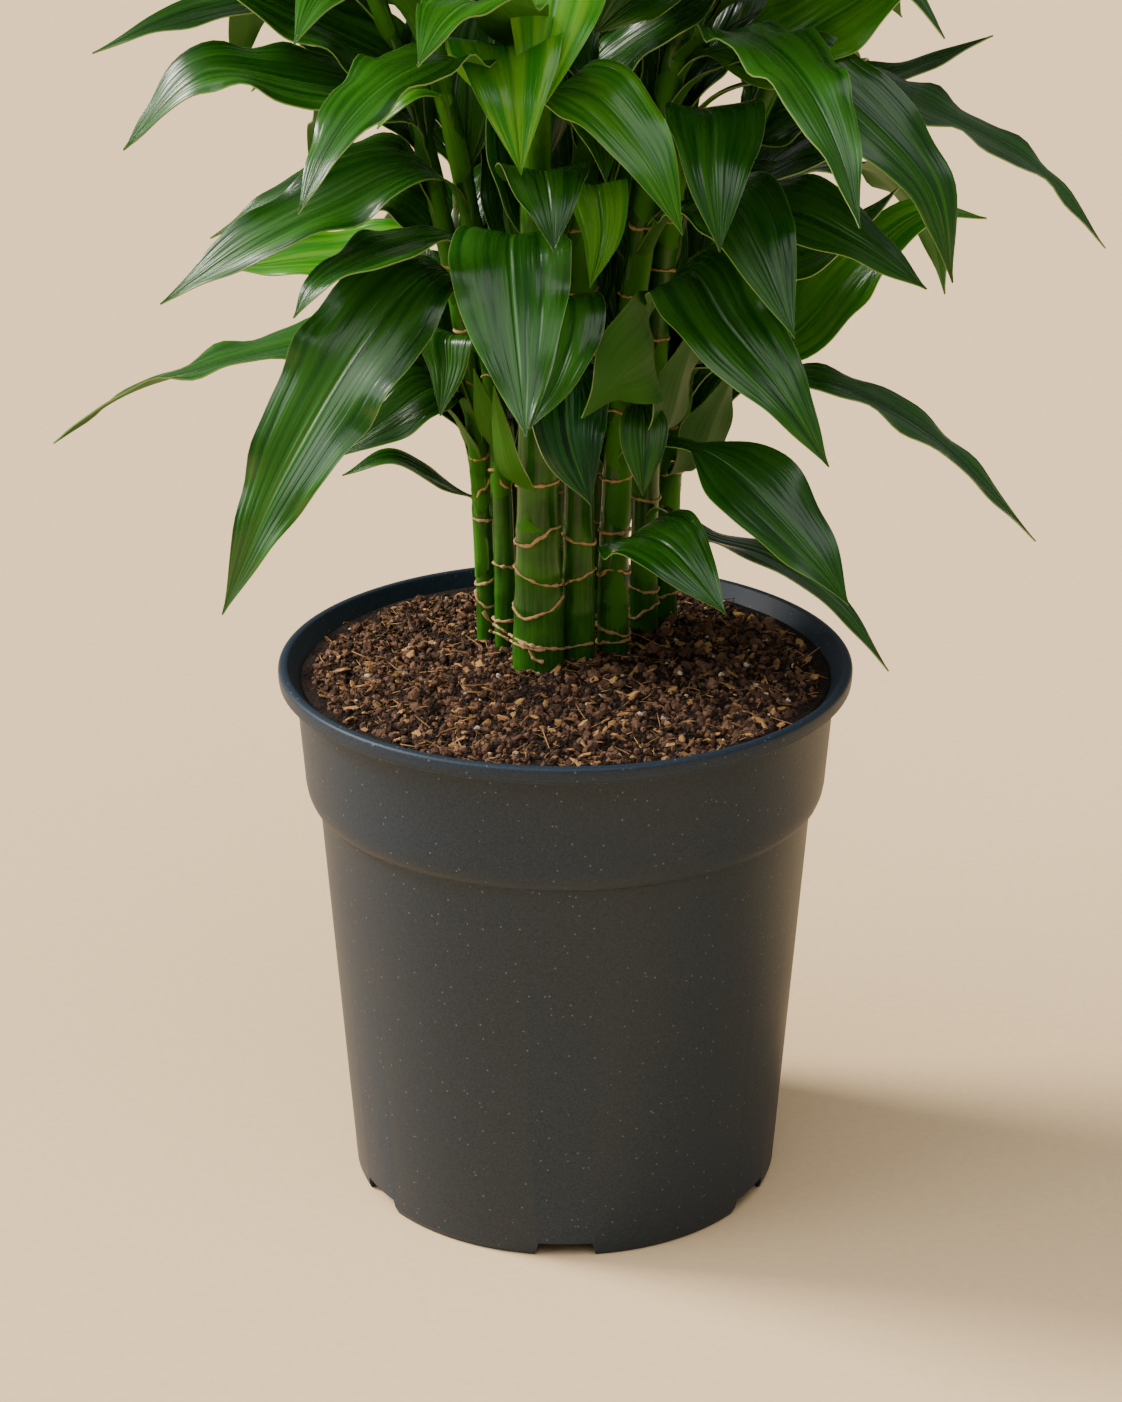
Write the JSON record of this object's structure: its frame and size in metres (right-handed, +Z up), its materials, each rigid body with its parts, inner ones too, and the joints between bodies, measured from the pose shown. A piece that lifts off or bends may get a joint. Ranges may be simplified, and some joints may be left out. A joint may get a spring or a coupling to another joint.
{
  "type": "potted corn plant",
  "caption": "Leafy corn plant: a clump of ringed green canes with long arching strap leaves, planted in peat in a tall tapered grower's pot with a rolled rim and drain notches.",
  "frame": {"origin": "middle of the flat hub under the pot's base, on the surface that the pot stands on", "axes": "+Z up along the pot's axis, -Y towards the front of the plant, +X to the right as the front is seen"},
  "size_m": [0.4467, 0.4022, 0.7398],
  "materials": {
    "pot_plastic": "satin, finely grained",
    "peat": "loose and rough",
    "foliage": "satin"
  },
  "bodies": {
    "root": {"pot": "pot_plastic", "soil": "peat", "stem_front": "foliage", "stem_middle": "foliage", "stem_front_right": "foliage", "stem_left": "foliage", "stem_front_left": "foliage", "stem_right": "foliage", "stem_far_right": "foliage", "stem_back_left": "foliage", "stem_centre": "foliage", "stem_back": "foliage"}
  },
  "joints": []
}
